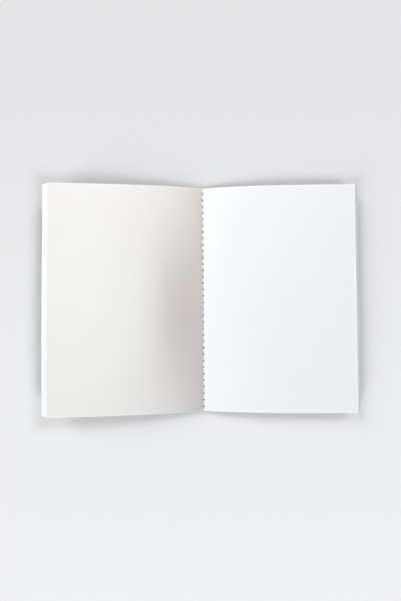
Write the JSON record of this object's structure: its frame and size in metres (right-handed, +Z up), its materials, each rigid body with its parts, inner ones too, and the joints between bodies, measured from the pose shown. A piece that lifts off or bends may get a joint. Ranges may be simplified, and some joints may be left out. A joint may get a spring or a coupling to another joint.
{
  "type": "notebook",
  "caption": "Open sewn notebook with blank pages, a pale card cover, a stitched fold, a closing front half and a top leaf that turns",
  "frame": {"origin": "On the table under the middle of the open notebook, below the fold", "axes": "+X across the spread to the right page, +Y along the fold to the head of the pages, +Z up"},
  "size_m": [0.2903, 0.21, 0.0202],
  "materials": {
    "paper": "smooth uncoated white paper",
    "cover_card": "matt pale card",
    "thread": "twisted white sewing thread"
  },
  "bodies": {
    "back_half": {"back_cover": "cover_card", "cover_spine": "cover_card", "needle_thread": "thread", "bobbin_thread": "thread", "right_leaf_02": "paper", "right_leaf_03": "paper", "right_leaf_04": "paper", "right_leaf_05": "paper", "right_leaf_06": "paper", "right_leaf_07": "paper", "right_leaf_08": "paper", "right_leaf_09": "paper", "right_leaf_10": "paper", "right_leaf_11": "paper", "right_leaf_12": "paper", "right_leaf_13": "paper", "right_leaf_14": "paper", "right_leaf_15": "paper", "right_leaf_16": "paper", "right_leaf_17": "paper", "right_leaf_18": "paper", "right_leaf_19": "paper", "right_leaf_20": "paper"},
    "front_half": {"front_cover": "cover_card", "left_leaf_01": "paper", "left_leaf_02": "paper", "left_leaf_03": "paper", "left_leaf_04": "paper", "left_leaf_05": "paper", "left_leaf_06": "paper", "left_leaf_07": "paper", "left_leaf_08": "paper", "left_leaf_09": "paper", "left_leaf_10": "paper", "left_leaf_11": "paper", "left_leaf_12": "paper", "left_leaf_13": "paper", "left_leaf_14": "paper", "left_leaf_15": "paper", "left_leaf_16": "paper", "left_leaf_17": "paper", "left_leaf_18": "paper", "left_leaf_19": "paper", "left_leaf_20": "paper"},
    "turning_leaf": {"right_leaf_01": "paper"}
  },
  "joints": [
    {"name": "close_front_half", "type": "hinge", "parent": "back_half", "child": "front_half", "pos_m": [0, 0, 0.00388], "axis": [0, 1, 0], "range_deg": [0, 155]},
    {"name": "turn_leaf", "type": "hinge", "parent": "back_half", "child": "turning_leaf", "pos_m": [0, 0, 0.00388], "axis": [0, -1, 0], "range_deg": [0, 155]}
  ]
}
